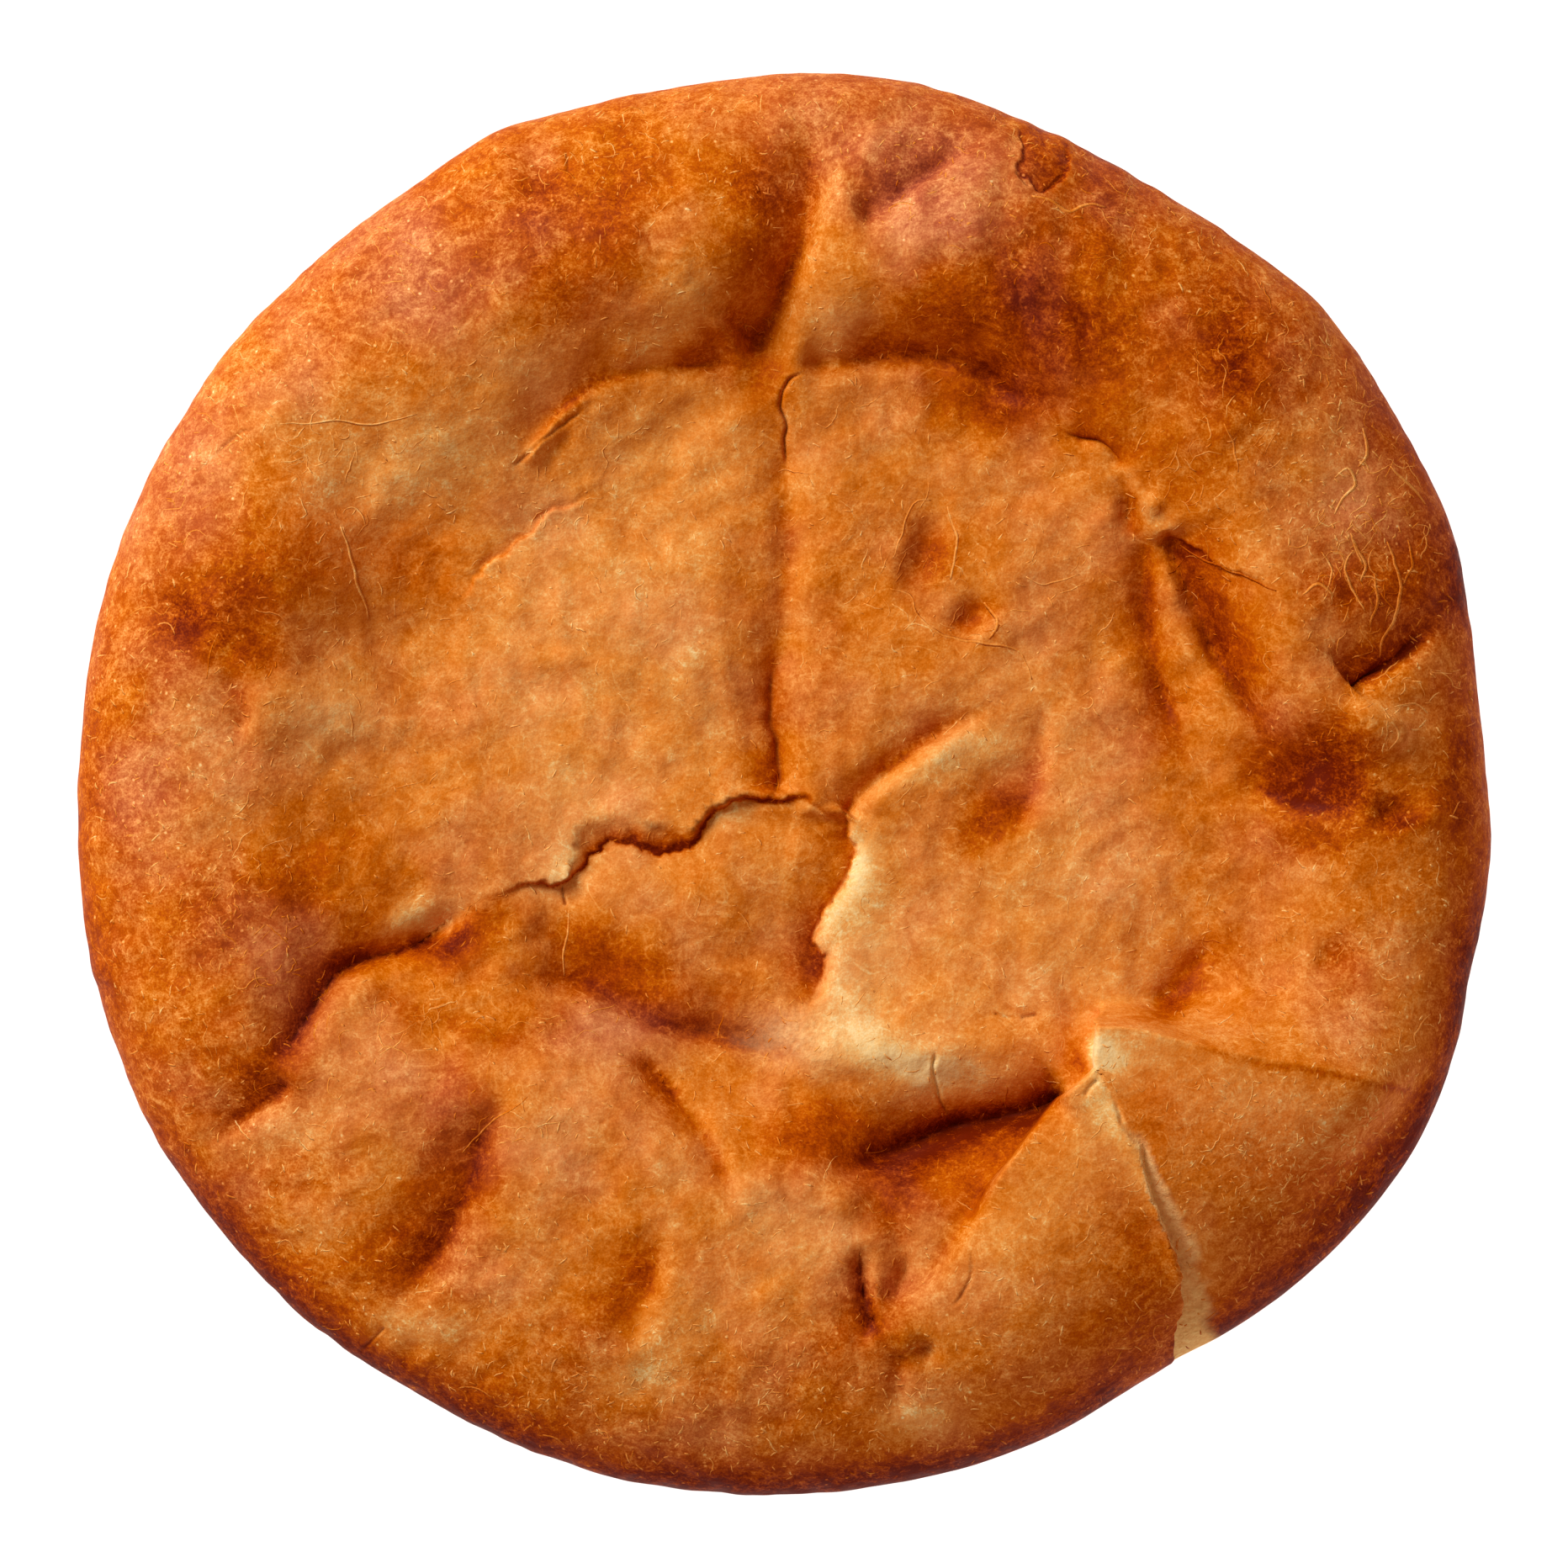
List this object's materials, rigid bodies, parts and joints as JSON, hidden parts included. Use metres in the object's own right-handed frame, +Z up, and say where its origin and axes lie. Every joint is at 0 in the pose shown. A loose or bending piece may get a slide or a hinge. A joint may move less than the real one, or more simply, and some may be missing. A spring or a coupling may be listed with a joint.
{
  "type": "round puffed flatbread",
  "caption": "Round puffed lavash with a flat base, a full rounded rim, a sunken folded crust and a pinched-up corner that has split.",
  "frame": {"origin": "middle of the loaf's outline, on the plane of its flat base", "axes": "+Z up out of the crust, +Y to the far edge of the pictured view, +X to its right, so the pinched-up corner lies towards +X and -Y"},
  "size_m": [0.2098, 0.211, 0.0374],
  "materials": {
    "crust": "dry browned crust, matt with a faint sheen"
  },
  "bodies": {
    "root": {"loaf": "crust"}
  },
  "joints": []
}
